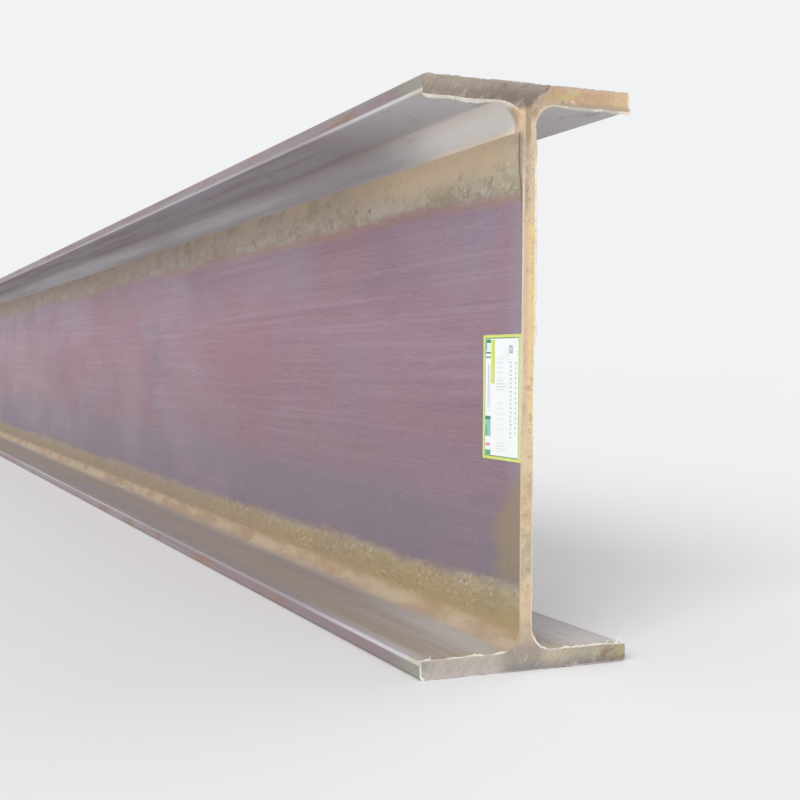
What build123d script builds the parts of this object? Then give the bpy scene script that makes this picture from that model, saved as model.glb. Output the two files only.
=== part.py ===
"""Hot-rolled steel H-beam, 500 x 200 section, with the paper mill label on its web.

The beam lies along Y with its web upright and stands on its lower flange. The origin
is on the underside of the lower flange, under the middle of the beam's length. The
labelled end is the one at -Y, and the label is on the web's -X side.
"""

import os

from build123d import *

# Rolled section
section_height = 500.0
flange_width = 200.0
flange_thickness = 16.0
web_thickness = 10.0
root_radius = 13.0
toe_outer_radius = 4.0
toe_inner_radius = 1.5

# Sawn length, one of those that such beams are sold in
beam_length = 6000.0

# Paper label, stuck to the web beside the sawn end
label_height = 110.0
label_length = 72.0
label_thickness = 0.3
label_corner_radius = 1.5
label_from_end = 1.0
label_above_underside = 178.0


def rolled_section():
    """The outline that the last pair of rolls leaves: two flanges and a web.

    Each flange toe has a larger radius on its outer corner than on its inner one,
    and a root radius runs between each flange and the web.
    """
    toe_x = flange_width / 2
    web_x = web_thickness / 2
    upper_flange_z = section_height - flange_thickness
    right_corners = [
        (toe_x, 0),
        (toe_x, flange_thickness),
        (web_x, flange_thickness),
        (web_x, upper_flange_z),
        (toe_x, upper_flange_z),
        (toe_x, section_height),
    ]
    left_corners = [(-x, z) for x, z in reversed(right_corners)]
    lower_radii = [toe_outer_radius, toe_inner_radius, root_radius]
    upper_radii = lower_radii[::-1]
    with BuildSketch(Plane.XZ) as section:
        with BuildLine():
            FilletPolyline(
                right_corners + left_corners,
                radius=(lower_radii + upper_radii) * 2,
                close=True,
            )
        make_face()
    return section.sketch


def h_beam():
    """The section carried along the whole sawn length, cut square at both ends."""
    return extrude(rolled_section(), amount=beam_length / 2, both=True)


def mill_label():
    """A rounded rectangle of paper that lies flat on the web's left face."""
    label_plane = Plane(
        origin=(
            -web_thickness / 2,
            -beam_length / 2 + label_from_end + label_length / 2,
            label_above_underside + label_height / 2,
        ),
        x_dir=(0, -1, 0),
        z_dir=(-1, 0, 0),
    )
    outline = label_plane * RectangleRounded(label_length, label_height, label_corner_radius)
    return extrude(outline, amount=label_thickness)


os.makedirs("parts", exist_ok=True)
export_step(h_beam(), "parts/h_beam.step")
export_step(mill_label(), "parts/mill_label.step")
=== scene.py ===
"""Looks of the rolled steel H-beam: the scaled body, the sawn ends and the paper label."""

import math

import bpy
import numpy as np
from mathutils import Euler, Matrix, Vector, noise
from mathutils.geometry import delaunay_2d_cdt


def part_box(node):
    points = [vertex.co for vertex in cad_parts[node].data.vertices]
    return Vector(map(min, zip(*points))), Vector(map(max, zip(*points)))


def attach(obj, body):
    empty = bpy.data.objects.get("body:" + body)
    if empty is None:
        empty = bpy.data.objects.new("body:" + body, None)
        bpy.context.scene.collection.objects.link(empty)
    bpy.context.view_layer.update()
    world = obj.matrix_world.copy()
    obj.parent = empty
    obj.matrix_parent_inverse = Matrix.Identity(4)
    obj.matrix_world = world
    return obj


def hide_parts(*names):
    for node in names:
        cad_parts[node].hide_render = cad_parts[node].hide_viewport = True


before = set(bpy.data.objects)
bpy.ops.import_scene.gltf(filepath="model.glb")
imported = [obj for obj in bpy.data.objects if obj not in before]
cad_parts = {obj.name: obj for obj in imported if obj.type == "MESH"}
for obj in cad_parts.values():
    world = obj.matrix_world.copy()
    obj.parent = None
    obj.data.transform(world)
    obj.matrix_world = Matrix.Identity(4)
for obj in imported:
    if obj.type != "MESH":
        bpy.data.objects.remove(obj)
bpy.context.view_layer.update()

# The camera stands a metre in front of the sawn end, to the left of the beam, and looks
# along it and to the right. It is put where the photograph's own lines say it was.
end_low, end_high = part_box("h_beam")
near_end_y = end_low.y
far_end_y = end_high.y
view_from_end = Vector((-0.5474, -0.9887, 0.2599))
view_yaw = math.radians(-23.454)
view_tilt = math.radians(90 - 1.467)
view_roll = math.radians(0.324)
view_focal_px = 1322.7
photo_width_px = 800


def added(name, data):
    """A new thing in the scene, made of that data."""
    thing = bpy.data.objects.new(name, data)
    bpy.context.scene.collection.objects.link(thing)
    return thing


camera = added("camera", bpy.data.cameras.new("camera"))
camera.data.sensor_width = 36.0
camera.data.lens = camera.data.sensor_width * view_focal_px / photo_width_px
camera.data.clip_end = 500.0
turned = Euler((view_tilt, 0, view_yaw), "XYZ").to_matrix()
rolled = Matrix.Rotation(view_roll, 3, "Z")
camera.matrix_world = Matrix.Translation(Vector((0, near_end_y, 0)) + view_from_end) @ (
    turned @ rolled
).to_4x4()
bpy.context.scene.camera = camera


# The beam is hot-rolled from one bloom: two flanges and a web, with a root fillet at
# each joint and rounded toes. It comes off the cooling bed with a skin of mill scale,
# and a cold saw cuts it to length, which leaves bare ends with a burr on their edges.
flange_thickness = 0.016
web_thickness = 0.010
root_radius = 0.020
toe_outer_radius = 0.004
toe_inner_radius = 0.0015
outline_step = 0.0012
arc_step = 0.0009

section_width = end_high.x - end_low.x
section_height = end_high.z - end_low.z
half_width = section_width / 2
half_height = section_height / 2
inner_face = half_height - flange_thickness


def section_corners():
    """Corners of the rolled outline, anticlockwise seen from the far end, with radii."""
    web_x = web_thickness / 2
    right = [
        (half_width, 0.0, toe_outer_radius),
        (half_width, flange_thickness, toe_inner_radius),
        (web_x, flange_thickness, root_radius),
        (web_x, section_height - flange_thickness, root_radius),
        (half_width, section_height - flange_thickness, toe_inner_radius),
        (half_width, section_height, toe_outer_radius),
    ]
    left = [(-x, z, radius) for x, z, radius in reversed(right)]
    return right + left


def rolled_outline():
    """Points round the outline and the outward direction at each."""
    corners = section_corners()
    points = []
    outward = []
    for number, (x, z, radius) in enumerate(corners):
        before = np.array(corners[number - 1][:2])
        after = np.array(corners[(number + 1) % len(corners)][:2])
        corner = np.array((x, z))
        run_in = (corner - before) / np.linalg.norm(corner - before)
        run_out = (after - corner) / np.linalg.norm(after - corner)
        turn = run_in[0] * run_out[1] - run_in[1] * run_out[0]
        middle = corner - run_in * radius + run_out * radius
        steps = max(3, math.ceil(radius * math.pi / 2 / arc_step))
        for step in range(steps + 1):
            angle = math.pi / 2 * step / steps
            spoke = run_in * math.sin(angle) - run_out * math.cos(angle)
            points.append(middle + spoke * radius)
            outward.append(spoke * math.copysign(1, turn))
        next_radius = corners[(number + 1) % len(corners)][2]
        start = corner + run_out * radius
        finish = after - run_out * next_radius
        cuts = max(1, round(np.linalg.norm(finish - start) / outline_step))
        for cut in range(1, cuts):
            points.append(start + (finish - start) * cut / cuts)
            outward.append(np.array((run_out[1], -run_out[0])))
    return np.array(points), np.array(outward)


outline, outward = rolled_outline()

# Lips that the saw rolled over each edge: heavier under the upper flange, in the roots and
# on the right of the web's upper half. The raised fins on the lower flange are given by
# their place across, half length and height
web_lip = 0.0009
upper_web_left_lip = 0.0004
upper_web_right_lip = 0.0025
upper_web_foot = 0.25
upper_web_head = 0.465
right_root_lip = 0.0017
upper_left_root_lip = 0.0013
lower_left_root_lip = 0.0001
lower_lip = 0.0009
upper_left_lip = 0.0040
upper_right_lip = 0.0030
thinnest_lip = 0.8
nick_depth = 0.0012
root_lip_start = 0.008
root_lip_run = 0.015
upper_left_lip_run = 0.009
web_lip_rise_run = 0.04
web_lip_fall_run = 0.02
ripples_per_metre = 190
swells_per_metre = 45
fin_ripples_per_metre = 330
fin_teeth_per_metre = 1100
near_fins = [
    (-0.0915, 0.0040, 0.0018),
    (-0.0700, 0.0080, 0.0004),
    (-0.0490, 0.0090, 0.0016),
    (-0.0240, 0.0065, 0.0018),
    (0.0180, 0.0025, 0.0010),
    (0.0405, 0.0065, 0.0015),
    (0.0530, 0.0070, 0.0017),
    (0.0700, 0.0110, 0.0017),
]
far_fins = [(-x, half, height) for x, half, height in near_fins]


def held(share):
    """The share, held between 0 and 1."""
    return min(max(share, 0.0), 1.0)


def unevenness(x, z, per_metre, seed):
    """Random rise and fall from about -1 to 1, so many times in a metre."""
    return noise.noise(Vector((x * per_metre, z * per_metre, seed)))


def root_share(point, direction):
    """How near a point is to the middle of a root fillet, from 0 to 1."""
    x, z = point
    by_web = abs(x) < web_thickness / 2 + root_radius
    below_flange = abs(z - half_height) < inner_face
    return 2 * abs(direction[0] * direction[1]) if by_web and below_flange else 0.0


def web_lip_at(x, z):
    """Height of the lip beside the web, which changes above the middle."""
    upper_lip = upper_web_left_lip if x < 0 else upper_web_right_lip
    rise = held((z - upper_web_foot) / web_lip_rise_run)
    fall = held((upper_web_head - z) / web_lip_fall_run)
    return web_lip + (upper_lip - web_lip) * rise * fall


def burr_at(point, direction, fins, seed):
    """How far the saw pushed the edge out, or broke it away where the value is negative."""
    x, z = point
    ripple = unevenness(x, z, ripples_per_metre, seed)
    swell = unevenness(x, z, swells_per_metre, seed + 7.3)
    from_middle = abs(z - half_height)
    faces_in = -direction[1] * math.copysign(1, z - half_height)
    on_flange = from_middle > inner_face - 1e-5
    if on_flange and faces_in < 0.1:
        return -nick_depth * max(0.0, 0.25 + 1.1 * ripple + 0.8 * swell)
    flange = upper_left_lip if x < 0 else upper_right_lip
    if z < half_height:
        flange = lower_lip
    run = upper_left_lip_run if x < 0 and z > half_height else root_lip_run
    past_root = held((abs(x) - root_lip_start) / run)
    left_root_lip = upper_left_root_lip if z > half_height else lower_left_root_lip
    root_lip = left_root_lip if x < 0 else right_root_lip
    by_web = web_lip_at(x, z) + root_lip * root_share(point, direction)
    height = by_web + (flange - by_web) * past_root
    height *= max(thinnest_lip, 1.0 + 0.25 * ripple + 0.5 * swell)
    if on_flange:
        height *= faces_in
    if direction[1] > 0.7 and z < half_height:
        ragged = 0.7 + 0.8 * unevenness(x, 0.0, fin_ripples_per_metre, seed)
        ragged += 0.7 * unevenness(x, 0.0, fin_teeth_per_metre, seed)
        for place, half_length, fin_height in fins:
            reach = abs(x - place) / half_length
            if reach < 1:
                height += fin_height * ragged * (1 - reach**2)
    return height


# Distance of each ring of the skin from the sawn end, and its share of the lip
ring_shares = [
    (0.0, 0.80),
    (0.0004, 1.0),
    (0.0010, 0.85),
    (0.0017, 0.35),
    (0.0026, 0.06),
    (0.0040, 0.0),
    (0.008, 0.0),
    (0.02, 0.0),
    (0.05, 0.0),
    (0.12, 0.0),
    (0.3, 0.0),
    (0.7, 0.0),
    (1.4, 0.0),
    (2.2, 0.0),
]
lip_rings = 4

# The sawn face: how far up the lip it starts, its steps, and the ridges that the blade left.
# The blade ran slantwise, so much across the end for so much down
face_on_lip = 0.4
lip_inset = 0.0005
face_step = 0.0013
face_row_step = face_step * 0.866
face_scatter = face_step * 0.2
face_scatter_per_metre = 900
face_dish = 0.00025
blade_across = 0.84
blade_down = 0.54
ridges_per_metre = 420
ridge_breaks_per_metre = 22
face_waves_per_metre = 40
sharp_edge = math.radians(40)

skin_part, burr_part, sawn_part = range(3)


def inside_section(x, z, margin):
    """True where a point lies in the steel, that far from its edge."""
    from_middle = abs(z - half_height)
    across = abs(x)
    if from_middle > inner_face + margin:
        before_toe = across < half_width - margin - toe_outer_radius / 3
        return before_toe and from_middle < half_height - margin
    if across < web_thickness / 2 - margin:
        return True
    to_side = across - web_thickness / 2 - root_radius
    to_level = from_middle - inner_face + root_radius
    return to_side < 0 and to_level > 0 and math.hypot(to_side, to_level) > root_radius + margin


def saw_relief(x, z, seed):
    """Depth of the saw's marks under the end's plane."""
    past_ridges = (x * blade_across - z * blade_down) * ridges_per_metre
    along_ridge = (x * blade_down + z * blade_across) * ridge_breaks_per_metre
    ridge = noise.noise(Vector((past_ridges, along_ridge, seed)))
    wave = unevenness(x, z, face_waves_per_metre, seed + 3.1)
    return face_dish * max(0.0, 1.0 + 0.8 * ridge + 0.6 * wave)


def sawn_points():
    """Points inside the sawn face, in staggered rows with a little unevenness."""
    points = []
    rows = math.ceil(section_height / face_row_step)
    columns = math.ceil(section_width / face_step)
    for row in range(rows):
        z = (row + 0.5) * face_row_step
        for column in range(columns + 1):
            x = (column + 0.5 * (row % 2)) * face_step - half_width
            x += face_scatter * unevenness(x, z, face_scatter_per_metre, 0.5)
            if inside_section(x, z, lip_inset + 0.5 * face_step):
                points.append((x, z))
    return points


def beam_mesh():
    """Skin of the whole length, with a lip of burr and a sawn face at each end."""
    count = len(outline)
    near_burr = np.array([burr_at(p, d, near_fins, 1.7) for p, d in zip(outline, outward)])
    far_burr = np.array([burr_at(p, d, far_fins, 9.2) for p, d in zip(outline, outward)])
    rolled_over = near_burr > 0
    rings = [(near_end_y + d, share, near_burr) for d, share in ring_shares]
    rings += [(far_end_y - d, share, far_burr) for d, share in reversed(ring_shares)]
    vertices = []
    faces = []
    parts = []
    low = (-half_width, 0.0)
    high = (half_width, section_height)
    for y, share, burr in rings:
        ring = np.clip(outline + outward * (burr * share)[:, None], low, high)
        vertices += [(x, y, z) for x, z in ring]
    for number in range(len(rings) - 1):
        in_lip = min(number, len(rings) - 2 - number) < lip_rings
        for i in range(count):
            j = (i + 1) % count
            a = number * count
            b = a + count
            faces.append((a + i, a + j, b + j, b + i))
            parts.append(burr_part if in_lip and rolled_over[i] else skin_part)
    filling = [Vector(p) for p in sawn_points()]
    last = len(rings) - 1
    for end_y, inward, edge, burr, seed in (
        (near_end_y, 1, 0, near_burr, 4.0),
        (far_end_y, -1, last, far_burr, 8.0),
    ):
        inset = np.where(burr > 0, face_on_lip, ring_shares[0][1]) * burr - lip_inset
        rim = [Vector(p) for p in np.clip(outline + outward * inset[:, None], low, high)]
        loop = [list(range(count))]
        points, _, triangles, _, _, _ = delaunay_2d_cdt(rim + filling, [], loop, 1, 1e-7)
        start = len(vertices)
        for x, z in points:
            vertices.append((x, end_y + inward * saw_relief(x, z, seed), z))
        for i in range(count):
            j = (i + 1) % count
            ring = edge * count
            quad = (ring + i, start + i, start + j, ring + j)
            faces.append(quad if inward > 0 else quad[::-1])
            parts.append(burr_part if rolled_over[i] else sawn_part)
        for triangle in triangles:
            corners = tuple(start + corner for corner in triangle)
            faces.append(corners if inward > 0 else corners[::-1])
            parts.append(sawn_part)
    mesh = bpy.data.meshes.new("rolled_beam")
    mesh.from_pydata(vertices, [], faces)
    mesh.polygons.foreach_set("material_index", parts)
    mesh.validate()
    mesh.shade_smooth()
    mesh.set_sharp_from_angle(angle=sharp_edge)
    return mesh


def new_finish(name):
    """A material to be painted, and the place on the object to paint by."""
    finish = bpy.data.materials.new(name)
    finish.use_nodes = True
    place = finish.node_tree.nodes.new("ShaderNodeTexCoord").outputs["Object"]
    return finish, place


def put(kind, settings=None, **inputs):
    """One step of a finish. An input that is a socket is linked, and any other is set."""
    tree = next(v.id_data for v in inputs.values() if isinstance(v, bpy.types.NodeSocket))
    step = tree.nodes.new("ShaderNode" + kind)
    for name, value in (settings or {}).items():
        setattr(step, name, value)
    for name, value in inputs.items():
        socket = step.inputs[int(name[1:])] if name[1:].isdigit() else step.inputs[name]
        if isinstance(value, bpy.types.NodeSocket):
            tree.links.new(value, socket)
        else:
            socket.default_value = value
    return step


def sums(operation, *values):
    """One sum of numbers or sockets."""
    inputs = {f"_{number}": value for number, value in enumerate(values)}
    return put("Math", {"operation": operation}, **inputs).outputs[0]


def between(value, start, finish, low=0.0, high=1.0):
    """Smooth change from low to high as the value goes from start to finish."""
    return put(
        "MapRange",
        {"interpolation_type": "SMOOTHSTEP"},
        _0=value,
        _1=start,
        _2=finish,
        _3=low,
        _4=high,
    ).outputs[0]


def cloud(place, scale, detail=3.0, roughness=0.55, distortion=0.0):
    """Soft irregular pattern from 0 to 1, with its own scale in each direction."""
    return put(
        "TexNoise",
        Vector=put("Mapping", _0=place, _3=scale).outputs[0],
        Scale=1.0,
        Detail=detail,
        Roughness=roughness,
        Distortion=distortion,
    ).outputs["Fac"]


def as_light(paint):
    """A paint as the shader takes it. It is given from 0 to 255, or is a socket and stays."""
    if isinstance(paint, bpy.types.NodeSocket):
        return paint
    parts = [value / 255 for value in paint]
    parts = [v / 12.92 if v < 0.04045 else ((v + 0.055) / 1.055) ** 2.4 for v in parts]
    return (*parts, 1.0)


def tinted(base, paint, share):
    """The base colour with a paint laid over it by a share."""
    mix = put("Mix", {"data_type": "RGBA"}, _0=share, _6=as_light(base), _7=as_light(paint))
    return mix.outputs[2]


def shifted(value, pattern, reach):
    """The value, moved up or down by up to half the reach, by a pattern from 0 to 1."""
    swing = sums("SUBTRACT", pattern, 0.5)
    return sums("MULTIPLY_ADD", swing, reach, value)


def product(*values):
    """Shares multiplied together, where all of them have to hold."""
    total = values[0]
    for value in values[1:]:
        total = sums("MULTIPLY", total, value)
    return total


def speckled(colour, pattern, *paints):
    """The colour with paints over it. Each has the pattern's values where it starts and is
    full, and its share there."""
    for paint, start, full, share in paints:
        colour = tinted(colour, paint, between(pattern, start, full, 0.0, share))
    return colour


def off(value, line):
    """How far the value is from a line, on either side of it."""
    return sums("ABSOLUTE", sums("SUBTRACT", value, line))


def apart(across, up):
    """Length of two offsets taken together."""
    joined = put("CombineXYZ", _0=across, _1=up).outputs[0]
    return put("VectorMath", {"operation": "LENGTH"}, _0=joined).outputs["Value"]


def leant(place, *degrees):
    """The place on the object, turned about the beam's three directions."""
    return put("Mapping", _0=place, _2=[math.radians(angle) for angle in degrees]).outputs[0]


def measured(place):
    """Place across and up, and how far it is from the web's middle and the nearer end."""
    x, y, z = put("SeparateXYZ", _0=place).outputs
    from_web = sums("ABSOLUTE", x)
    from_end = sums("SUBTRACT", far_end_y, sums("ABSOLUTE", y))
    return x, z, from_web, from_end


def finish_off(finish, colour, roughness, metallic, *reliefs):
    """Joins colour, roughness and relief to the shader. A relief is pattern, strength, depth."""
    tree = finish.node_tree
    shader = tree.nodes["Principled BSDF"]
    tree.links.new(colour, shader.inputs["Base Color"])
    if isinstance(roughness, float):
        shader.inputs["Roughness"].default_value = roughness
    else:
        tree.links.new(roughness, shader.inputs["Roughness"])
    shader.inputs["Metallic"].default_value = metallic
    normal = shader.inputs["Normal"]
    for pattern, strength, depth in reversed(reliefs):
        bump = put("Bump", Strength=strength, Distance=depth, Height=pattern)
        tree.links.new(bump.outputs[0], normal)
        normal = bump.inputs["Normal"]
    return finish


def mauve_oxide(place, z):
    """The web's skin: mauve, with soft pink and blue places and fine streaks along the roll, and
    painted shade that darkens its lower half.
    """
    mauve = (144, 117, 131)
    pinker = (150, 114, 125)
    rose = (150, 111, 126)
    bluer = (138, 125, 141)
    plum = (122, 98, 110)
    lower_web_shade = (116, 92, 100)
    hues = cloud(place, (5, 3, 6), 3.0)
    blues = cloud(place, (4, 4, 5), 2.0)
    deeps = cloud(place, (6, 2, 9), 3.0)
    draws = cloud(place, (150, 2.2, 150), 4.0, 0.6)
    streaks = cloud(place, (620, 26, 620), 4.0, 0.65)
    rosy = product(between(z, 0.37, 0.31), between(z, 0.16, 0.22), 0.5)
    colour = tinted(mauve, pinker, between(hues, 0.44, 0.64))
    colour = tinted(colour, rose, rosy)
    colour = speckled(colour, blues, (bluer, 0.52, 0.72, 0.6))
    colour = speckled(colour, deeps, (plum, 0.52, 0.72, 0.6))
    dark = ((124, 101, 115), 0.52, 0.68, 0.45)
    light = ((159, 139, 151), 0.48, 0.34, 0.40)
    colour = speckled(colour, draws, dark, light)
    # Painted shade: the web darkens towards its lower half.
    colour = tinted(colour, lower_web_shade, between(z, 0.33, 0.16, 0.0, 0.32))
    dark = ((110, 86, 98), 0.56, 0.74, 0.40)
    light = ((170, 152, 162), 0.44, 0.28, 0.30)
    return speckled(colour, streaks, dark, light), hues, streaks


def dust_bands(place, z, from_end, from_middle, colour):
    """Tan rust dust between the fillets and the oxide, brushed with pale and dark strokes, and
    lightened under the upper fillet as painted light.
    """
    oxide_edge = 0.160
    ragged = cloud(place, (110, 34, 110), 5.0, 0.65)
    drift = cloud(place, (2, 1.3, 2), 2.0)
    blotches = cloud(place, (34, 11, 34), 4.0, 0.6)
    dabs = cloud(place, (90, 62, 80), 4.0, 0.6)
    olives = cloud(place, (16, 13, 30), 3.0, 0.6)
    flecks = cloud(leant(place, 14, 0, 0), (230, 120, 230), 4.0, 0.7, 0.4)
    reach = shifted(shifted(from_middle, ragged, 0.018), drift, 0.022)
    reach = sums("SUBTRACT", reach, between(from_end, 0.0, 0.25, 0.0, 0.009))
    reach = sums("SUBTRACT", reach, between(z, 0.25, 0.20, 0.0, 0.018))

    rust = (160, 122, 96)
    rim = product(
        between(reach, oxide_edge - 0.012, oxide_edge - 0.004),
        between(reach, oxide_edge + 0.006, oxide_edge - 0.003),
        between(z, 0.2, 0.3, 0.08, 0.5),
        between(drift, 0.40, 0.56, 0.2, 1.0),
    )
    colour = tinted(colour, rust, rim)

    khaki = tinted((166, 155, 130), (186, 176, 157), between(blotches, 0.40, 0.60))
    khaki = speckled(khaki, dabs, ((150, 145, 112), 0.52, 0.66, 0.7))
    tan = tinted((201, 180, 148), (184, 169, 146), between(blotches, 0.38, 0.62))
    tan = tinted(tan, (172, 150, 108), between(z, 0.30, 0.20))
    tan = speckled(tan, dabs, ((158, 144, 108), 0.54, 0.70, 0.6))
    layer = tinted(khaki, tan, between(shifted(from_middle, ragged, 0.03), 0.172, 0.204))
    layer = speckled(layer, olives, ((150, 142, 108), 0.52, 0.66, 0.5))
    # Painted light: from a few centimetres behind the cut to about half a metre, the tan just
    # under the upper fillet is lightened against the upper flange's shadow.
    painted_light_tan = (232, 208, 172)
    lit_under_fillet = product(
        between(z, 0.418, 0.446),
        between(from_end, 0.02, 0.07),
        between(from_end, 0.45, 0.20),
        0.75,
    )
    layer = tinted(layer, painted_light_tan, lit_under_fillet)

    pale_stroke = (212, 206, 192)
    dark_stroke = (122, 110, 84)
    flecked = between(shifted(reach, blotches, 0.04), 0.200, 0.176)
    flecked = product(flecked, between(dabs, 0.40, 0.60, 0.15, 1.0))
    layer = tinted(layer, pale_stroke, product(between(flecks, 0.53, 0.66), flecked, 0.70))
    layer = tinted(layer, dark_stroke, product(between(flecks, 0.46, 0.36), flecked, 0.60))

    dust = between(reach, oxide_edge - 0.006, oxide_edge + 0.006)
    wear = between(shifted(from_end, drift, 1.2), 0.25, 1.3, 0.93, 0.62)
    return tinted(colour, layer, product(dust, wear)), dust, flecks, blotches


def flange_scale(place, up, from_end, from_middle, streaks, blotches):
    """Flanges: pale grey inside, palest by the cut, which is partly painted light, and brown-grey
    with rust outside.
    """
    sheens = cloud(place, (40, 1.3, 40), 3.0)
    rusts = cloud(place, (26, 9, 26), 5.0, 0.65)
    fade = shifted(from_end, sheens, 0.25)

    pale_grey = (206, 206, 208)
    cream_rim = (206, 197, 182)
    brown_spot = (150, 132, 112)
    settled_dust = (158, 142, 122)
    # Partly painted light: the inside is painted palest grey with a cream rim by the cut, as if
    # lit there, and greyer deeper along the beam.
    rim = between(shifted(from_end, blotches, 0.016), 0.026, 0.012)
    settled = product(between(up, 0.5, 0.9), between(sheens, 0.36, 0.62, 0.25, 0.8))
    inside = tinted((156, 148, 152), (172, 172, 178), between(sheens, 0.40, 0.60))
    inside = tinted(inside, pale_grey, between(fade, 0.34, 0.03, 0.0, 0.9))
    inside = tinted(inside, cream_rim, product(rim, 0.8))
    inside = speckled(inside, blotches, (brown_spot, 0.60, 0.74, 0.5))
    inside = tinted(inside, settled_dust, settled)

    rust = (146, 112, 88)
    deep_rust = (120, 82, 58)
    grey_green = (150, 149, 136)
    outside = tinted((140, 124, 126), (150, 140, 142), between(sheens, 0.40, 0.62))
    outside = speckled(outside, rusts, (rust, 0.52, 0.66, 0.65), (deep_rust, 0.64, 0.76, 0.60))
    outside = tinted(outside, grey_green, product(between(fade, 0.05, 0.01), 0.8))

    on_inside = between(from_middle, inner_face + 0.0045, inner_face + 0.0025)
    colour = tinted(outside, inside, on_inside)
    return speckled(colour, streaks, ((112, 96, 98), 0.56, 0.72, 0.35))


def stain(z, from_end, flecks, blotches):
    """Tan stain that creeps in from the cut on the web's lower half, and its share."""
    height = shifted(z, blotches, 0.07)
    reach = between(z, 0.182, 0.116, 0.0, 0.048)
    depth = shifted(shifted(from_end, blotches, 0.05), flecks, 0.02)
    share = product(
        between(sums("SUBTRACT", reach, depth), -0.015, 0.014),
        between(height, 0.188, 0.146),
        between(height, 0.062, 0.090),
        0.90,
    )
    colour = tinted((147, 128, 103), (142, 128, 106), between(z, 0.120, 0.085))
    return speckled(colour, flecks, ((134, 114, 84), 0.50, 0.66, 0.5)), share


# Height where the pale scale of the upper fillet gives way to dust
pale_line = 0.460


def beside_upper_cut(colour, x, z, from_web, from_end, blotches):
    """Rubbed band, painted lip shadow and peach root where the web's upper half meets the cut."""
    band_edge = between(shifted(z, blotches, 0.05), 0.385, 0.440, 0.0025, 0.0090)
    on_band = product(
        between(z, 0.36, 0.44),
        between(from_web, 0.014, 0.008),
        between(sums("SUBTRACT", band_edge, from_end), -0.0006, 0.0006),
        0.7,
    )
    colour = tinted(colour, (172, 154, 140), on_band)

    by_left_root = product(between(z, 0.482, 0.477), between(x, -0.002, -0.004))
    tan_root = tinted((170, 150, 128), (200, 174, 148), between(z, 0.454, 0.461))
    tan_share = product(
        by_left_root,
        between(shifted(z, blotches, 0.004), 0.444, 0.452),
        between(shifted(from_end, blotches, 0.006), 0.021, 0.015),
        0.9,
    )
    colour = tinted(colour, tan_root, tan_share)
    peach = (232, 200, 164)
    peach_share = product(
        by_left_root,
        between(shifted(z, blotches, 0.004), 0.458, 0.467),
        between(shifted(from_end, blotches, 0.004), 0.0115, 0.0085),
    )
    colour = tinted(colour, peach, peach_share)

    # Painted shadow: a dark brown line on the web a few millimetres behind the cut, where the
    # lip's shadow falls.
    lip_shadow_line = product(
        between(off(band_edge, from_end), 0.0028, 0.0008),
        product(between(z, 0.30, 0.40), between(z, pale_line + 0.001, pale_line - 0.003)),
        0.8,
    )
    return tinted(colour, (108, 94, 80), lip_shadow_line)


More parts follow.
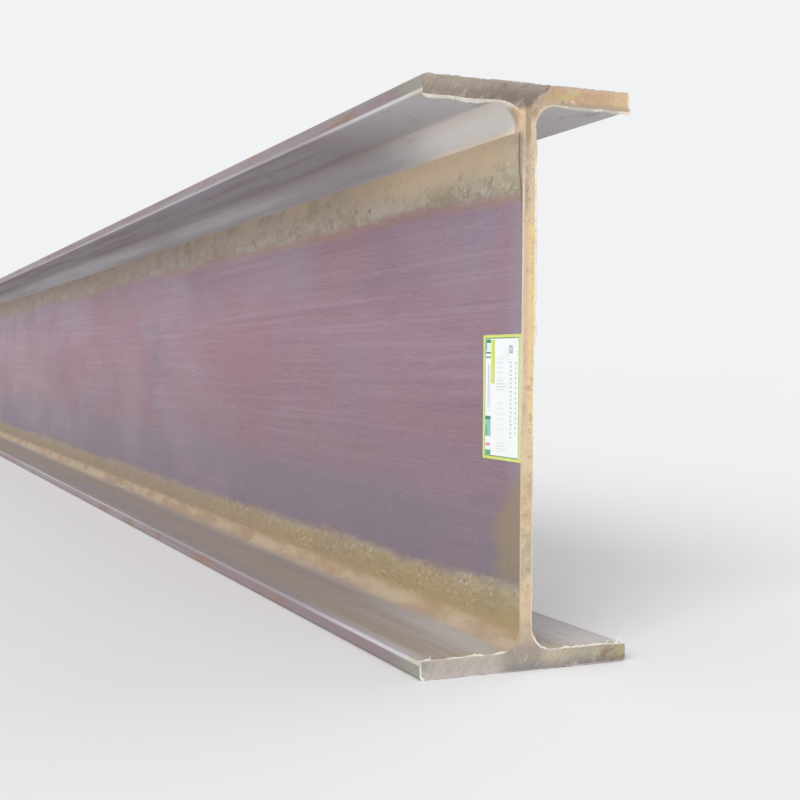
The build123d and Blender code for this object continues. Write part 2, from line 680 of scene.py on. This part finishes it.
def scale_finish():
    """Mill scale as the beam left the rolls, with rust dust, scuffs and rubbed edges."""
    finish, place = new_finish("mill_scale")
    x, z, from_web, from_end = measured(place)
    up = put("SeparateXYZ", _0=place.node.outputs["Normal"]).outputs[2]
    level = sums("ABSOLUTE", up)
    from_middle = off(z, half_height)

    colour, hues, streaks = mauve_oxide(place, z)
    # Painted shade: dark blue-grey low on the web, just above the lower dust band.
    cool_shade = product(between(z, 0.170, 0.115), between(hues, 0.30, 0.50), 0.75)
    colour = tinted(colour, (120, 113, 125), cool_shade)
    by_cut = product(between(shifted(from_end, hues, 0.04), 0.034, 0.006), 0.5)
    colour = tinted(colour, (146, 141, 153), by_cut)
    colour, dust, flecks, blotches = dust_bands(place, z, from_end, from_middle, colour)
    colour = tinted(colour, *stain(z, from_end, flecks, blotches))

    above_dust = between(z, pale_line - 0.0006, pale_line + 0.0006)
    on_toe = between(from_web, 0.05, 0.06)
    on_flange = sums("MAXIMUM", between(level, 0.35, 0.95), on_toe)
    flange = flange_scale(place, up, from_end, from_middle, streaks, blotches)
    colour = tinted(colour, flange, sums("MAXIMUM", on_flange, above_dust))

    # Pale scale on the upper fillet, partly painted light: written brighter than the scale, and
    # fading deeper along the beam like a lit strip going into shade.
    pale_share = product(
        above_dust,
        between(z, 0.492, 0.487),
        between(from_web, 0.034, 0.024),
        between(shifted(from_end, blotches, 0.08), 0.30, 0.12, 0.15, 1.0),
        0.95,
    )
    cream_edge = (250, 234, 214)
    pale_grey = (234, 229, 224)
    pale_scale_and_light = tinted(cream_edge, pale_grey, between(z, pale_line + 0.0004, pale_line + 0.007))
    colour = tinted(colour, pale_scale_and_light, pale_share)

    in_lower_root = product(
        between(level, 0.06, 0.40),
        between(level, 0.99, 0.80),
        between(from_web, 0.028, 0.020),
        between(z, 0.3, 0.2),
        0.7,
    )
    root = tinted((190, 170, 140), (168, 140, 112), between(blotches, 0.42, 0.60))
    colour = tinted(colour, root, in_lower_root)
    colour = beside_upper_cut(colour, x, z, from_web, from_end, blotches)

    olive_edge = product(
        between(from_end, 0.0050, 0.0030),
        between(from_web, 0.010, 0.007),
        between(z, 0.42, 0.40),
        between(z, 0.06, 0.08),
        0.75,
    )
    colour = tinted(colour, (150, 138, 118), olive_edge)
    bites = cloud(place, (360, 110, 360), 2.0)
    bitten = product(between(bites, 0.710, 0.750, 0.0, 0.75), between(dust, 1.0, 0.4))
    colour = tinted(colour, (84, 66, 70), bitten)
    for tilt, sparse in ((6, 0.725), (-15, 0.735)):
        scratches = cloud(leant(place, tilt, 0, tilt), (760, 17, 760), 1.0)
        scratched = between(scratches, sparse, sparse + 0.05, 0.0, 0.30)
        colour = tinted(colour, (186, 174, 178), scratched)
    grain = cloud(place, (1100, 700, 1100), 2.0)
    dark = ((88, 72, 78), 0.54, 0.78, 0.30)
    light = ((188, 174, 180), 0.46, 0.22, 0.25)
    colour = speckled(colour, grain, dark, light)

    smooth = between(hues, 0.35, 0.65, 0.46, 0.56)
    rough = shifted(sums("MULTIPLY_ADD", dust, 0.2, smooth), streaks, 0.2)
    reliefs = ((streaks, 0.2, 0.0004), (grain, 0.3, 0.0003), (flecks, 0.3, 0.0005))
    return finish_off(finish, colour, rough, 0.1, *reliefs)


def burr_finish():
    """Lip that the saw smeared out: cream steel by the web, and grey along the flanges, with
    painted shade darkening the flange lips away from the cut.
    """
    finish, place = new_finish("burr_steel")
    x, z, from_web, from_end = measured(place)
    patches = cloud(place, (70, 70, 70), 3.0)
    crumbs = cloud(place, (300, 300, 300), 3.0, 0.65)
    grain = cloud(place, (520, 520, 520), 3.0)

    left = tinted((214, 194, 168), (232, 212, 194), between(z, 0.19, 0.26))
    left = tinted(left, (200, 184, 168), between(z, 0.420, 0.436))
    left = tinted(left, (226, 192, 154), between(z, 0.456, 0.460))
    right = tinted((220, 200, 168), (244, 224, 190), between(z, 0.17, 0.23))
    right = tinted(right, (206, 189, 162), between(z, 0.424, 0.444))
    by_web = tinted(left, right, between(x, -0.002, 0.004))
    by_web = speckled(by_web, crumbs, ((192, 172, 150), 0.52, 0.68, 0.6))

    upper = tinted((208, 200, 190), (190, 187, 180), between(x, -0.01, 0.01))
    upper = speckled(upper, patches, ((224, 217, 206), 0.52, 0.64, 0.8))
    upper = tinted(upper, (236, 222, 200), between(x, 0.085, 0.092))
    # Painted shade: the upper and the lower lip darken to grey from about a millimetre behind the
    # sawn face, down their rolled-over side.
    upper = tinted(upper, (150, 146, 142), between(from_end, 0.0010, 0.0032))
    lower = tinted((206, 200, 190), (238, 235, 228), between(patches, 0.42, 0.58))
    lower = tinted(lower, (158, 150, 136), between(from_end, 0.0012, 0.0032))
    on_slivers = product(between(z, 0.0168, 0.0174), between(z, 0.032, 0.028))
    lower = tinted(lower, (234, 229, 218), on_slivers)
    flange = tinted(lower, upper, between(z, 0.2, 0.3))
    by_flange = sums("MAXIMUM", between(z, 0.036, 0.022), between(from_web, 0.008, 0.022))
    colour = tinted(by_web, flange, by_flange)

    in_left_root = product(
        between(z, 0.050, 0.040),
        between(x, -0.003, -0.006),
        between(x, -0.022, -0.016),
    )
    in_right_root = product(
        between(z, 0.462, 0.470),
        between(x, 0.003, 0.006),
        between(x, 0.024, 0.018),
    )
    colour = tinted(colour, (186, 166, 142), in_left_root)
    colour = tinted(colour, (212, 186, 162), in_right_root)
    dark = ((136, 122, 106), 0.54, 0.70, 0.45)
    light = ((236, 230, 218), 0.46, 0.34, 0.30)
    colour = speckled(colour, grain, dark, light)
    return finish_off(finish, colour, 0.42, 0.2, (grain, 0.3, 0.0002), (crumbs, 0.4, 0.0004))


def web_cut(x, z, patches, blots, crumbs):
    """Colours of the sawn web: beige at the top, peach and gold below, khaki near the foot."""
    light_spot_height = 0.463
    dim_spot_x = -0.0012
    seam_x = -0.0019

    beige = tinted((206, 188, 164), (186, 165, 142), between(crumbs, 0.44, 0.60))
    beige = tinted(beige, (214, 194, 166), between(x, -0.0002, 0.0024, 0.0, 0.7))
    light_spot = product(
        between(x, 0.0010, 0.0026),
        between(off(z, light_spot_height), 0.007, 0.003),
        0.8,
    )
    beige = tinted(beige, (220, 199, 168), light_spot)
    dim_head = product(between(z, 0.466, 0.474), between(x, 0.012, 0.006))
    dim_spot = product(between(z, 0.446, 0.453), between(off(x, dim_spot_x), 0.0034, 0.0020))
    dim = product(sums("MAXIMUM", dim_head, dim_spot), 0.85)
    beige = tinted(beige, (170, 146, 120), dim)

    height = shifted(shifted(z, patches, 0.07), blots, 0.03)
    peach = tinted((216, 188, 160), (228, 203, 152), between(x, -0.002, 0.0015))
    peach = speckled(peach, blots, ((212, 180, 148), 0.50, 0.64, 0.7))
    khaki = tinted((203, 182, 145), (190, 174, 148), between(height, 0.130, 0.105))
    bands_downward = (
        (peach, 0.405, 0.365),
        ((220, 196, 160), 0.215, 0.195),
        (khaki, 0.178, 0.160),
        ((210, 187, 154), 0.082, 0.066),
        ((193, 173, 148), 0.048, 0.036),
    )
    colour = beige
    for band, head, foot in bands_downward:
        colour = tinted(colour, band, between(height, head, foot))

    below_middle = between(z, 0.30, 0.24)
    dark_mottle = product(between(blots, 0.52, 0.64), below_middle, 0.5)
    colour = tinted(colour, (174, 154, 126), dark_mottle)
    light_mottle = product(between(blots, 0.46, 0.34), below_middle, 0.5)
    colour = tinted(colour, (222, 204, 176), light_mottle)

    from_seam = sums("ABSOLUTE", shifted(sums("SUBTRACT", x, seam_x), blots, 0.004))
    seam = product(
        between(from_seam, 0.0022, 0.0004),
        between(z, 0.385, 0.400),
        between(blots, 0.36, 0.52, 0.3, 0.9),
        0.75,
    )
    colour = tinted(colour, (168, 148, 124), seam)
    golden = product(
        between(shifted(x, blots, 0.003), -0.0034, -0.0052),
        between(shifted(z, blots, 0.006), 0.456, 0.462),
        between(shifted(z, patches, 0.004), 0.481, 0.476),
    )
    return tinted(colour, (224, 190, 150), golden)


def upper_cut(x, z, strokes, patches, blots, crumbs):
    """Colours of the sawn upper flange: grey-brown, darker inward, and gold past the web, with
    painted highlights at its right tip and along its top edge.
    """
    across = shifted(x, patches, 0.03)
    rise = between(shifted(z, patches, 0.006), 0.4855, 0.4985)
    low = tinted((146, 131, 118), (126, 112, 103), between(across, -0.075, -0.02))
    high = tinted((166, 152, 139), (156, 144, 134), between(across, -0.07, -0.02))
    light = ((184, 172, 156), 0.54, 0.68, 0.6)
    dark = ((130, 116, 104), 0.45, 0.33, 0.5)
    grey = speckled(tinted(low, high, rise), strokes, light, dark)

    gold = tinted((186, 165, 140), (191, 161, 126), between(z, 0.486, 0.490))
    gold = tinted(gold, (204, 174, 150), between(z, 0.494, 0.498, 0.0, 0.7))
    gold = speckled(gold, patches, ((188, 172, 138), 0.52, 0.62, 0.5))
    orange = ((204, 163, 122), 0.52, 0.62, 0.55)
    pinkish = ((206, 180, 160), 0.44, 0.34, 0.6)
    gold = speckled(gold, blots, orange, pinkish)
    gold = tinted(gold, (214, 184, 145), between(across, 0.070, 0.092, 0.0, 0.8))

    lemon_lean = -0.34
    lemon_x = 0.038
    lemon_z = 0.4915
    along_lemon = sums("MULTIPLY_ADD", x, lemon_lean, shifted(z, blots, 0.005))
    lemon = product(
        between(x, 0.026, 0.032),
        between(x, 0.054, 0.046),
        between(off(along_lemon, lemon_z + lemon_lean * lemon_x), 0.0034, 0.0012),
        0.55,
    )
    gold = tinted(gold, (200, 187, 134), lemon)
    pink_x = 0.042
    pink_z = 0.4862
    from_pink = apart(sums("SUBTRACT", x, pink_x), sums("SUBTRACT", z, pink_z))
    gold = tinted(gold, (228, 196, 180), between(from_pink, 0.0035, 0.0015, 0.0, 0.9))
    # Painted highlight: a pale strip along the flange's right tip.
    gold = tinted(gold, (236, 220, 196), between(x, half_width - 0.0038, half_width - 0.0022))
    dull_foot = product(
        between(shifted(z, blots, 0.002), 0.4880, 0.4855),
        between(x, 0.025, 0.035),
        0.7,
    )
    gold = tinted(gold, (170, 152, 134), dull_foot)

    cleft_lean = -0.9
    cleft_x = 0.012
    cleft_z = 0.492
    cleft_line = cleft_lean * cleft_z + cleft_x
    past_cleft = sums("MULTIPLY_ADD", z, cleft_lean, shifted(x, blots, 0.012))
    feather = shifted(past_cleft, strokes, 0.010)
    dusky = (176, 156, 136)
    colour = tinted(grey, dusky, between(feather, cleft_line - 0.003, cleft_line + 0.002))
    colour = tinted(colour, gold, between(feather, cleft_line + 0.001, cleft_line + 0.012))
    cleft = product(
        between(off(past_cleft, cleft_line), 0.0022, 0.0004),
        between(z, 0.489, 0.493),
        0.75,
    )
    colour = tinted(colour, (104, 90, 84), cleft)
    # Painted highlight: a broken pale line along the flange's top edge.
    rim = product(between(z, 0.4982, 0.4990), between(crumbs, 0.40, 0.58, 0.2, 1.0), 0.8)
    return tinted(colour, (190, 180, 170), rim)


def lower_cut(x, z, strokes, patches, blots, crumbs):
    """Colours of the sawn lower flange: pinkish, then grey, and cream over lilac at the right,
    with a painted highlight round the left corner.
    """
    across = shifted(x, patches, 0.03)
    drop = between(shifted(z, patches, 0.006), 0.0115, 0.0015)
    left = tinted((182, 172, 163), (188, 177, 172), drop)
    left = speckled(left, blots, ((190, 181, 172), 0.52, 0.64, 0.7))
    middle = tinted((160, 149, 137), (139, 136, 134), drop)
    right = tinted((174, 164, 145), (136, 129, 126), drop)
    right = speckled(right, blots, ((176, 172, 148), 0.52, 0.64, 0.7))
    brown = tinted((166, 149, 126), (134, 116, 94), between(blots, 0.44, 0.60))
    olive = tinted((170, 160, 124), (150, 148, 104), between(blots, 0.48, 0.62))
    cream = (198, 184, 162)
    cream_share = product(
        between(across, 0.010, 0.022),
        between(across, 0.048, 0.032),
        between(z, 0.0, 0.010, 0.2, 0.55),
    )
    colour = tinted(left, middle, between(across, -0.035, -0.012))
    colour = tinted(colour, right, between(across, 0.012, 0.030))
    colour = tinted(colour, cream, cream_share)
    colour = tinted(colour, brown, between(across, 0.070, 0.078))
    colour = tinted(colour, olive, between(across, 0.082, 0.090, 0.0, 0.85))
    light = ((200, 192, 182), 0.56, 0.70, 0.5)
    dark = ((148, 138, 130), 0.44, 0.32, 0.4)
    colour = speckled(colour, strokes, light, dark)

    dull_foot = product(between(across, 0.066, 0.076), between(z, 0.0080, 0.0035), 0.7)
    colour = tinted(colour, (124, 114, 104), dull_foot)
    corner = product(
        between(shifted(x, blots, 0.008), -0.086, -0.096),
        0.75,
        between(z, 0.002, 0.014),
    )
    colour = tinted(colour, (150, 151, 144), corner)
    rim = product(
        between(z, 0.0014, 0.0006),
        between(crumbs, 0.36, 0.52, 0.2, 0.9),
        between(x, 0.0, -0.05, 0.4, 1.0),
    )
    colour = tinted(colour, (196, 188, 188), rim)
    lilac = product(between(z, 0.0020, 0.0010), between(across, 0.028, 0.040), 0.6)
    colour = tinted(colour, (188, 174, 192), lilac)

    # Painted highlight: a white line round the lower left toe's rounded corner.
    left_of_round = sums("SUBTRACT", toe_outer_radius - half_width, x)
    below_round = sums("SUBTRACT", toe_outer_radius, z)
    from_round = apart(sums("MAXIMUM", left_of_round, 0.0), sums("MAXIMUM", below_round, 0.0))
    white_edge_highlight = product(
        between(from_round, 0.0014, 0.0024),
        between(x, -0.0940, -0.0968),
        between(z, 0.016, 0.006, 0.4, 1.0),
    )
    return tinted(colour, (240, 242, 244), white_edge_highlight)


def sawn_finish():
    """Bare sawn steel, with the blade's slant strokes, crumbs of torn metal and pits."""
    finish, place = new_finish("sawn_steel")
    x, _, z = put("SeparateXYZ", _0=place).outputs
    blade_slant = -33
    stroke_slant = -45
    marks = cloud(leant(place, 0, blade_slant, 0), (300, 300, 44), 5.0, 0.7, 0.3)
    strokes = cloud(leant(place, 0, stroke_slant, 0), (150, 150, 56), 4.0, 0.65, 0.3)
    patches = cloud(place, (34, 34, 34), 4.0)
    blots = cloud(place, (110, 110, 110), 3.0, 0.6)
    crumbs = cloud(place, (240, 240, 200), 4.0, 0.7)
    specks = cloud(place, (760, 760, 760), 2.0)
    web = web_cut(x, z, patches, blots, crumbs)
    upper = upper_cut(x, z, strokes, patches, blots, crumbs)
    lower = lower_cut(x, z, strokes, patches, blots, crumbs)
    colour = tinted(web, upper, between(shifted(z, blots, 0.006), 0.475, 0.482))
    colour = tinted(colour, lower, between(z, 0.034, 0.016))

    on_flange = between(off(z, half_height), 0.2, 0.23, 0.45, 1.0)
    on_gold = product(between(z, 0.47, 0.48), between(x, 0.01, 0.03))
    off_gold = sums("MULTIPLY_ADD", on_gold, -0.5, 1.0)
    depth = product(between(blots, 0.40, 0.60, 0.05, 0.36), on_flange, off_gold)
    colour = tinted(colour, (112, 98, 88), product(between(marks, 0.53, 0.72), depth))
    colour = tinted(colour, (220, 210, 196), product(between(marks, 0.46, 0.30), depth))
    crumbled = product(between(crumbs, 0.55, 0.70), 0.32)
    colour = tinted(colour, (120, 106, 96), crumbled)
    glinting = product(between(crumbs, 0.42, 0.30), 0.30)
    colour = tinted(colour, (224, 216, 204), glinting)
    pits = ((92, 78, 68), 0.67, 0.76, 0.6)
    glints = ((234, 226, 212), 0.32, 0.24, 0.5)
    colour = speckled(colour, specks, pits, glints)

    rough = between(patches, 0.35, 0.65, 0.42, 0.56)
    reliefs = ((marks, 0.5, 0.0004), (crumbs, 0.4, 0.0004), (specks, 0.3, 0.0003))
    return finish_off(finish, colour, rough, 0.2, *reliefs)


beam = added("rolled_beam", beam_mesh())
burr_steel = burr_finish()
for finish in (scale_finish(), burr_steel, sawn_finish()):
    beam.data.materials.append(finish)
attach(beam, "root")
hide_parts("h_beam")


# Slivers of steel that the saw tore off still hang on the lower flange's upper edge. Each
# is thick at its root, bends as it rises, and is drawn out to a point. The sizes are its
# place across the flange, how far it reaches sideways, its rise and how far it bows.
near_slivers = [
    (-0.0920, 0.0035, 0.0040, 0.0010),
    (-0.0880, -0.0025, 0.0026, -0.0008),
    (-0.0575, 0.0180, 0.0006, 0.0008),
    (-0.0310, 0.0140, 0.0022, -0.0008),
    (0.0165, 0.0030, 0.0018, 0.0005),
    (0.0357, 0.0090, 0.0006, 0.0008),
    (0.0480, 0.0100, 0.0008, 0.0010),
    (0.0610, 0.0140, 0.0008, 0.0008),
    (0.0815, 0.0050, 0.0030, -0.0024),
    (0.0890, 0.0064, 0.0086, 0.0018),
    (0.0928, 0.0030, 0.0054, -0.0014),
    (0.0915, -0.0040, 0.0030, 0.0010),
]
far_slivers = [(-x, -sideways, rise, bow) for x, sideways, rise, bow in near_slivers]
sliver_root = 0.0007
sliver_tip = 0.0001
sliver_sides = 6
sliver_rings = 14
sliver_inset = 0.0010
sliver_lean = 0.0012
sliver_sunk = 0.0002
sliver_kink = 0.0012
sliver_taper = 0.7


def sliver_rings_of(x, sideways, rise, bow, end_y, inward):
    """Points round one sliver, ring by ring, from its root to its tip."""
    along = Vector((sideways, 0.0, rise)).normalized()
    over = Vector((along.z, 0.0, -along.x))
    points = []
    for ring in range(sliver_rings + 1):
        share = ring / sliver_rings
        thick = sliver_tip + (sliver_root - sliver_tip) * (1 - share) ** sliver_taper
        kink = noise.noise(Vector((x * 900, share * 4, 5.5)))
        centre = Vector((
            x + sideways * share,
            end_y + inward * (sliver_inset + sliver_lean * (share + 0.4 * kink)),
            flange_thickness - sliver_sunk + rise * share,
        ))
        centre += over * (bow * math.sin(math.pi * share) + sliver_kink * kink * share)
        for side in range(sliver_sides):
            angle = 2 * math.pi * side / sliver_sides
            spoke = over * math.sin(angle) + Vector((0, math.cos(angle), 0))
            points.append(centre + spoke * thick)
    return points


def slivers_mesh():
    """The slivers of both sawn ends, each closed at its root and its tip."""
    vertices = []
    faces = []
    ends = [(near_end_y, 1, sliver) for sliver in near_slivers]
    ends += [(far_end_y, -1, sliver) for sliver in far_slivers]
    for end_y, inward, sliver in ends:
        start = len(vertices)
        vertices += sliver_rings_of(*sliver, end_y, inward)
        last = start + sliver_rings * sliver_sides
        for ring_start in range(start, last, sliver_sides):
            for side in range(sliver_sides):
                a = ring_start + side
                b = ring_start + (side + 1) % sliver_sides
                faces.append((a, b, b + sliver_sides, a + sliver_sides))
        faces.append(tuple(start + side for side in reversed(range(sliver_sides))))
        faces.append(tuple(last + side for side in range(sliver_sides)))
    mesh = bpy.data.meshes.new("saw_slivers")
    mesh.from_pydata([tuple(v) for v in vertices], [], faces)
    mesh.validate()
    mesh.shade_smooth()
    return mesh


slivers = added("saw_slivers", slivers_mesh())
slivers.data.materials.append(burr_steel)
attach(slivers, "root")


# The mill's label is coated paper with a coloured border, printed with plain bars and
# rules, and glued flat on the web beside the sawn end.
label_low, label_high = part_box("mill_label")
label_corner = 0.0015
label_step = label_corner
label_wave_share = 0.4
print_softness = 0.00015
rule_softness = 0.0002
line_end_scatter = 0.35


def label_mesh():
    """Front of the sheet with slight waves in it, and its thin edges down to the web."""
    length = label_high.y - label_low.y
    height = label_high.z - label_low.z
    columns = round(length / label_step)
    rows = round(height / label_step)
    vertices = []
    faces = []
    thickness = label_high.x - label_low.x
    corner_pull = label_corner * (1 - math.sqrt(0.5))
    for row in range(rows + 1):
        for column in range(columns + 1):
            y = length * column / columns
            z = height * row / rows
            wave = noise.noise(Vector((y * 55, z * 40, 2.2)))
            lift = min(max(wave, 0.0), 0.9) * label_wave_share * thickness
            if row in (0, rows) and column in (0, columns):
                y += corner_pull * (1 if column == 0 else -1)
                z += corner_pull * (1 if row == 0 else -1)
            vertices.append((label_low.x + lift, label_low.y + y, label_low.z + z))
    wide = columns + 1
    for row in range(rows):
        for column in range(columns):
            a = row * wide + column
            faces.append((a, a + wide, a + wide + 1, a + 1))
    rim = [column for column in range(wide)]
    rim += [row * wide + columns for row in range(1, rows + 1)]
    rim += [rows * wide + column for column in range(columns - 1, -1, -1)]
    rim += [row * wide for row in range(rows - 1, 0, -1)]
    start = len(vertices)
    for index in rim:
        vertices.append((label_high.x, vertices[index][1], vertices[index][2]))
    for number, index in enumerate(rim):
        after = (number + 1) % len(rim)
        faces.append((index, rim[after], start + after, start + number))
    mesh = bpy.data.meshes.new("paper_label")
    mesh.from_pydata(vertices, [], faces)
    mesh.validate()
    mesh.shade_smooth()
    mesh.set_sharp_from_angle(angle=sharp_edge)
    return mesh


# Printed areas, in millimetres from the sheet's left edge and from its foot
paper = (240, 243, 243)
lime = (210, 220, 104)
bright_lime = (204, 220, 70)
pale_lime = (208, 213, 150)
dark_green = (38, 128, 84)
leaf_green = (84, 168, 118)
soft_green = (134, 200, 172)
mint = (222, 238, 226)
slate = (126, 146, 160)
lilac_grey = (170, 166, 184)
pink = (226, 140, 152)
printed_areas = [
    ((0, 72), (0, 110), lime),
    ((1.0, 3.0), (2.6, 107.4), pale_lime),
    ((67, 71), (2.6, 107.4), pale_lime),
    ((3.8, 66.6), (2.6, 107.4), dark_green),
    ((4.4, 66), (3.4, 106.6), paper),
    ((4.8, 15), (103, 106), dark_green),
    ((4.8, 7), (96, 106), leaf_green),
    ((8, 14.4), (97, 102), mint),
    ((4.8, 15), (93.5, 95), dark_green),
    ((4.8, 15), (89.5, 91), slate),
    ((9.4, 10.6), (46, 84), lilac_grey),
    ((13.2, 13.8), (42, 84), slate),
    ((4.8, 15), (35, 38), dark_green),
    ((4.8, 15), (20, 35), soft_green),
    ((4.8, 8), (20, 30), leaf_green),
    ((5.5, 14), (11.5, 14), pink),
    ((4.8, 15), (3.6, 8), leaf_green),
    ((15.6, 22.5), (67, 80), lime),
    ((15.6, 22.5), (80, 105.8), bright_lime),
    ((49, 55.5), (93.5, 100.5), lilac_grey),
    ((50.5, 54), (95, 99), (206, 204, 216)),
]
# Ruled areas: left, right, foot, head, pitch of the rules, share of ink, and its colour
ruled_areas = [
    (25, 45, 60, 72, 2.6, 0.55, (188, 196, 200)),
    (26, 40, 74, 90, 4.1, 0.40, (214, 206, 222)),
    (26, 42, 26, 52, 4.6, 0.30, (204, 222, 222)),
    (50.5, 54.5, 20, 88, 3.6, 0.75, (168, 178, 176)),
    (59, 63, 24, 86, 4.3, 0.65, (176, 186, 184)),
    (26, 46, 7, 16, 2.6, 0.45, (200, 208, 196)),
]


def within(value, low, high):
    """1 where the value lies between two others, with an edge as sharp as print."""
    above = between(value, low - print_softness, low + print_softness)
    below = between(value, high + print_softness, high - print_softness)
    return product(above, below)


def label_finish():
    """White coated paper with a lime border, plain printed bars and faint rules."""
    finish, place = new_finish("label_paper")
    _, y, z = put("SeparateXYZ", _0=place).outputs
    from_left = sums("SUBTRACT", label_high.y, y)
    from_foot = sums("SUBTRACT", z, label_low.z)
    colour = paper
    for (left, right), (foot, head), ink in printed_areas:
        on_length = within(from_left, left / 1000, right / 1000)
        on_height = within(from_foot, foot / 1000, head / 1000)
        colour = tinted(colour, ink, product(on_length, on_height))
    for left, right, foot, head, pitch, share, ink in ruled_areas:
        row = sums("DIVIDE", from_foot, pitch / 1000)
        rule = between(sums("FRACT", row), 0.50, 0.56)
        uneven = sums("FRACT", sums("MULTIPLY", sums("FLOOR", row), 0.382))
        scatter = -line_end_scatter * (right - left) / 1000
        to_stop = sums("SUBTRACT", sums("MULTIPLY_ADD", uneven, scatter, right / 1000), from_left)
        on_length = product(
            between(from_left, left / 1000, left / 1000 + rule_softness),
            between(to_stop, -rule_softness, rule_softness),
        )
        on_height = within(from_foot, foot / 1000, head / 1000)
        inked = product(on_length, on_height, rule, share)
        colour = tinted(colour, ink, inked)
    faded = cloud(place, (120, 90, 90), 4.0, 0.6)
    colour = speckled(colour, faded, (paper, 0.54, 0.74, 0.35))
    soiling = cloud(place, (60, 60, 60), 4.0)
    colour = speckled(colour, soiling, ((196, 190, 180), 0.55, 0.8, 0.3))
    fibres = cloud(place, (900, 900, 900), 2.0)
    cockles = cloud(place, (90, 60, 60), 2.0)
    rough = between(faded, 0.35, 0.65, 0.34, 0.46)
    return finish_off(finish, colour, rough, 0.0, (fibres, 0.1, 0.0002), (cockles, 0.3, 0.0006))


label = added("paper_label", label_mesh())
label.data.materials.append(label_finish())
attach(label, "root")
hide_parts("mill_label")


# The beam stands on a plain pale floor, wide enough to have no edge in view. It is lit as
# under an open sky: an even light from all round, a soft lamp from the left of the sawn end,
# and a weak one from the right behind it.
half = 200.0
floor_corners = [(-half, -half, 0), (half, -half, 0), (half, half, 0), (-half, half, 0)]
floor_mesh = bpy.data.meshes.new("floor")
floor_mesh.from_pydata(floor_corners, [], [(0, 1, 2, 3)])
floor = added("floor", floor_mesh)
floor_finish, _ = new_finish("pale_floor")
floor_shader = floor_finish.node_tree.nodes["Principled BSDF"]
floor_shader.inputs["Base Color"].default_value = (0.85, 0.85, 0.85, 1)
floor_shader.inputs["Roughness"].default_value = 0.9
floor.data.materials.append(floor_finish)

world = bpy.data.worlds.new("studio")
world.use_nodes = True
bpy.context.scene.world = world
sky = world.node_tree
rays = sky.nodes.new("ShaderNodeLightPath")
seen = sums("MAXIMUM", rays.outputs["Is Camera Ray"], rays.outputs["Is Glossy Ray"])
light = sky.nodes["Background"]
light.inputs["Color"].default_value = (0.98, 0.985, 1.0, 1)
sky.links.new(between(seen, 0.0, 1.0, 0.6, 0.90), light.inputs["Strength"])

for name, direction, strength, spread in (
    ("key_lamp", (-0.67, -0.61, 0.54), 1.95, 35),
    ("fill_lamp", (0.75, 0.30, 0.60), 0.5, 50),
):
    lamp = added(name, bpy.data.lights.new(name, "SUN"))
    lamp.data.energy = strength
    lamp.data.angle = math.radians(spread)
    lamp.rotation_euler = Vector(direction).to_track_quat("Z", "Y").to_euler()

bpy.context.scene.view_settings.view_transform = "Standard"
